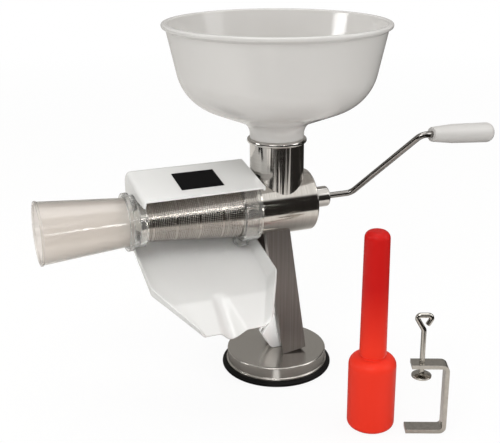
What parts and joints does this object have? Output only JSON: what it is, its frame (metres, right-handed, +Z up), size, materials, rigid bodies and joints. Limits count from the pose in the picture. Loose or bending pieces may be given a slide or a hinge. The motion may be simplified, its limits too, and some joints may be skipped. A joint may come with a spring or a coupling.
{
  "type": "hand-cranked food mill",
  "caption": "Hand-cranked food mill on a suction base: hopper over an auger in a conical strainer, with splash guard, juice chute, pulp funnel, loose pusher and table clamp.",
  "frame": {"origin": "on the table, at the centre of the rubber base, under the feed throat's axis", "axes": "+X along the auger towards the crank, +Y to the back, +Z up"},
  "size_m": [0.4624, 0.3049, 0.368],
  "materials": {
    "black_rubber": "matt moulded rubber",
    "brushed_steel": "brushed",
    "polished_steel": "polished",
    "plated_steel": "bright plating",
    "cast_lever": "tumbled",
    "bronze": "plain turned",
    "nylon": "moulded",
    "white_plastic": "glossy moulded",
    "clear_plastic": "clear moulded",
    "frosted_plastic": "frosted translucent",
    "dark_plate": "plain printed film",
    "red_plastic": "satin moulded"
  },
  "bodies": {
    "stand": {"suction_cup": "black_rubber", "base_disc": "brushed_steel", "leg": "brushed_steel", "body_tube": "polished_steel", "feed_throat": "polished_steel", "rear_plate": "polished_steel", "bearing_boss": "polished_steel", "shaft_seal": "black_rubber", "bearing_bush": "bronze", "thrust_washer": "nylon", "strainer_screen": "brushed_steel", "screen_hoop": "polished_steel", "outlet_hoop": "polished_steel", "clear_collar": "clear_plastic", "locking_studs": "plated_steel", "outlet_ring": "clear_plastic", "splash_guard": "white_plastic", "juice_chute": "white_plastic", "roof_plate": "dark_plate"},
    "crank": {"auger": "nylon", "drive_pin": "plated_steel", "crank_rod": "plated_steel", "grip_clip": "plated_steel"},
    "grip": {"crank_grip": "white_plastic"},
    "stem": {"suction_stem": "plated_steel"},
    "lever": {"suction_lever": "cast_lever", "lever_pin": "plated_steel"},
    "bowl": {"hopper": "white_plastic"},
    "funnel": {"pulp_funnel": "frosted_plastic"},
    "plunger": {"pusher": "red_plastic"},
    "clamp": {"clamp_frame": "plated_steel"},
    "clamp_foot": {"clamp_pad": "plated_steel"},
    "clamp_spindle": {"clamp_screw": "plated_steel"}
  },
  "joints": [
    {"name": "crank_turn", "type": "hinge", "parent": "stand", "child": "crank", "pos_m": [0, 0, 0.183], "axis": [1, 0, 0], "continuous": true},
    {"name": "grip_spin", "type": "hinge", "parent": "crank", "child": "grip", "pos_m": [0.1308, -0.06175, 0.25659], "axis": [0.9945, 0.0672, -0.0801], "continuous": true},
    {"name": "stem_lift", "type": "slide", "parent": "stand", "child": "stem", "axis": [0, 0, 1], "range_m": [0, 0.0042]},
    {"name": "lever_swing", "type": "hinge", "parent": "stem", "child": "lever", "pos_m": [0, 0, 0.036], "axis": [0, -1, 0], "range_deg": [0, 90]},
    {"name": "hopper_lift", "type": "slide", "parent": "stand", "child": "bowl", "axis": [0, 0, 1], "range_m": [0, 0.05]},
    {"name": "funnel_pull", "type": "slide", "parent": "stand", "child": "funnel", "axis": [-1, 0, 0], "range_m": [0, 0.03]},
    {"name": "pusher_lift", "type": "slide", "parent": "stand", "child": "plunger", "axis": [0, 0, 1], "range_m": [0, 0.15]},
    {"name": "clamp_lift", "type": "slide", "parent": "stand", "child": "clamp", "axis": [0, 0, 1], "range_m": [0, 0.08]},
    {"name": "clamp_feed", "type": "slide", "parent": "clamp", "child": "clamp_foot", "axis": [0, 0, 1], "range_m": [-0.02, 0.005]},
    {"name": "clamp_turn", "type": "hinge", "parent": "clamp_foot", "child": "clamp_spindle", "pos_m": [0.07249, -0.17573, 0.06], "axis": [0, 0, 1], "range_deg": [-5760, 1440]}
  ],
  "couplings": [
    {"joint": "stem_lift", "follows": "lever_swing", "m_per_rad": 0.0026738},
    {"joint": "clamp_feed", "follows": "clamp_turn", "m_per_rad": 0.00019894}
  ]
}
